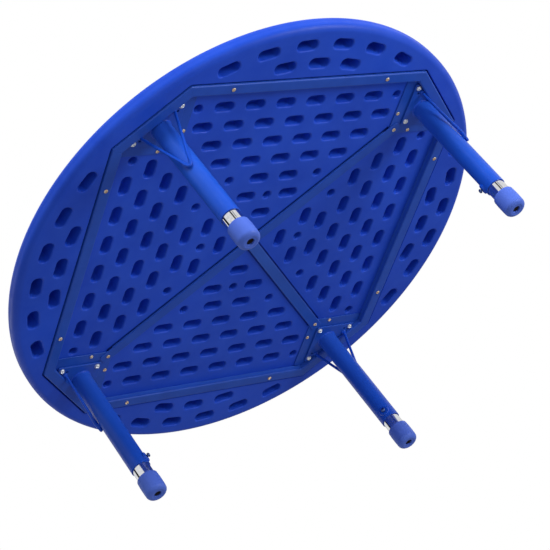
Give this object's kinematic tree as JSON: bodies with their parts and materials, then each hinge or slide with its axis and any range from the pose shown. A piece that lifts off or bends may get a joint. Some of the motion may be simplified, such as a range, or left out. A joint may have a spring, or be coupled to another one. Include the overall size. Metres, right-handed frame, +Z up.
{
  "type": "round activity table",
  "caption": "Low round utility table: hollow moulded top on a bolted steel underframe with telescopic legs locked by side screws and capped feet.",
  "frame": {"origin": "on the floor, under the middle of the top", "axes": "+Z up through the middle of the top; the legs stand on the diagonals between +X and +Y; the long cross bar runs from -X +Y to +X -Y"},
  "size_m": [1.143, 1.143, 0.4005],
  "materials": {
    "moulded_top": "satin moulded, fine grain",
    "frame_paint": "semi-gloss powder coat",
    "leg_paint": "semi-gloss powder coat",
    "chrome": "bright plated",
    "foot_cap": "satin moulded",
    "bright_zinc": "bright zinc plated",
    "yellow_zinc": "yellow zinc plated steel",
    "bronze_screw": "dark bronzed steel",
    "lock_screw": "dark plated steel"
  },
  "bodies": {
    "table": {"table_top": "moulded_top", "side_rail_right": "frame_paint", "side_rail_rear": "frame_paint", "side_rail_left": "frame_paint", "side_rail_front": "frame_paint", "cross_bar_long": "frame_paint", "cross_bar_half_rear": "frame_paint", "cross_bar_half_front": "frame_paint", "rail_screw_right_1": "yellow_zinc", "rail_screw_right_2": "yellow_zinc", "rail_screw_rear_1": "yellow_zinc", "rail_screw_rear_2": "yellow_zinc", "rail_screw_left_1": "yellow_zinc", "rail_screw_left_2": "yellow_zinc", "rail_screw_front_1": "yellow_zinc", "rail_screw_front_2": "yellow_zinc", "corner_bracket_rear_right": "frame_paint", "leg_plate_rear_right": "frame_paint", "leg_brace_rear_right": "leg_paint", "leg_bolt_rear_right_1": "bright_zinc", "leg_bolt_rear_right_2": "bright_zinc", "leg_bolt_rear_right_3": "bright_zinc", "leg_outer_tube_rear_right": "leg_paint", "corner_bracket_rear_left": "frame_paint", "leg_plate_rear_left": "frame_paint", "leg_brace_rear_left": "leg_paint", "leg_bolt_rear_left_1": "bright_zinc", "leg_bolt_rear_left_2": "bright_zinc", "leg_bolt_rear_left_3": "bright_zinc", "leg_outer_tube_rear_left": "leg_paint", "corner_bracket_front_left": "frame_paint", "leg_plate_front_left": "frame_paint", "leg_brace_front_left": "leg_paint", "leg_bolt_front_left_1": "bright_zinc", "leg_bolt_front_left_2": "bright_zinc", "leg_bolt_front_left_3": "bright_zinc", "leg_outer_tube_front_left": "leg_paint", "corner_bracket_front_right": "frame_paint", "leg_plate_front_right": "frame_paint", "leg_brace_front_right": "leg_paint", "leg_bolt_front_right_1": "bright_zinc", "leg_bolt_front_right_2": "bright_zinc", "leg_bolt_front_right_3": "bright_zinc", "leg_outer_tube_front_right": "leg_paint"},
    "leg_rear_right": {"leg_inner_tube_rear_right": "chrome", "foot_cap_rear_right": "foot_cap", "foot_screw_rear_right": "bronze_screw"},
    "leg_rear_left": {"leg_inner_tube_rear_left": "chrome", "foot_cap_rear_left": "foot_cap", "foot_screw_rear_left": "bronze_screw"},
    "leg_front_left": {"leg_inner_tube_front_left": "chrome", "foot_cap_front_left": "foot_cap", "foot_screw_front_left": "bronze_screw"},
    "leg_front_right": {"leg_inner_tube_front_right": "chrome", "foot_cap_front_right": "foot_cap", "foot_screw_front_right": "bronze_screw"},
    "lock_rear_right": {"height_lock_screw_rear_right": "lock_screw"},
    "lock_rear_left": {"height_lock_screw_rear_left": "lock_screw"},
    "lock_front_left": {"height_lock_screw_front_left": "lock_screw"},
    "lock_front_right": {"height_lock_screw_front_right": "lock_screw"}
  },
  "joints": [
    {"name": "leg_extend_rear_right", "type": "slide", "parent": "table", "child": "leg_rear_right", "axis": [0, 0, -1], "range_m": [0, 0.2286]},
    {"name": "leg_extend_rear_left", "type": "slide", "parent": "table", "child": "leg_rear_left", "axis": [0, 0, -1], "range_m": [0, 0.2286]},
    {"name": "leg_extend_front_left", "type": "slide", "parent": "table", "child": "leg_front_left", "axis": [0, 0, -1], "range_m": [0, 0.2286]},
    {"name": "leg_extend_front_right", "type": "slide", "parent": "table", "child": "leg_front_right", "axis": [0, 0, -1], "range_m": [0, 0.2286]},
    {"name": "lock_turn_rear_right", "type": "hinge", "parent": "table", "child": "lock_rear_right", "pos_m": [0.31894, 0.31894, 0.094], "axis": [-0.7071, -0.7071, 0], "range_deg": [0, 270]},
    {"name": "lock_turn_rear_left", "type": "hinge", "parent": "table", "child": "lock_rear_left", "pos_m": [-0.31894, 0.31894, 0.094], "axis": [0.7071, -0.7071, 0], "range_deg": [0, 270]},
    {"name": "lock_turn_front_left", "type": "hinge", "parent": "table", "child": "lock_front_left", "pos_m": [-0.31894, -0.31894, 0.094], "axis": [0.7071, 0.7071, 0], "range_deg": [0, 270]},
    {"name": "lock_turn_front_right", "type": "hinge", "parent": "table", "child": "lock_front_right", "pos_m": [0.31894, -0.31894, 0.094], "axis": [-0.7071, 0.7071, 0], "range_deg": [0, 270]}
  ]
}
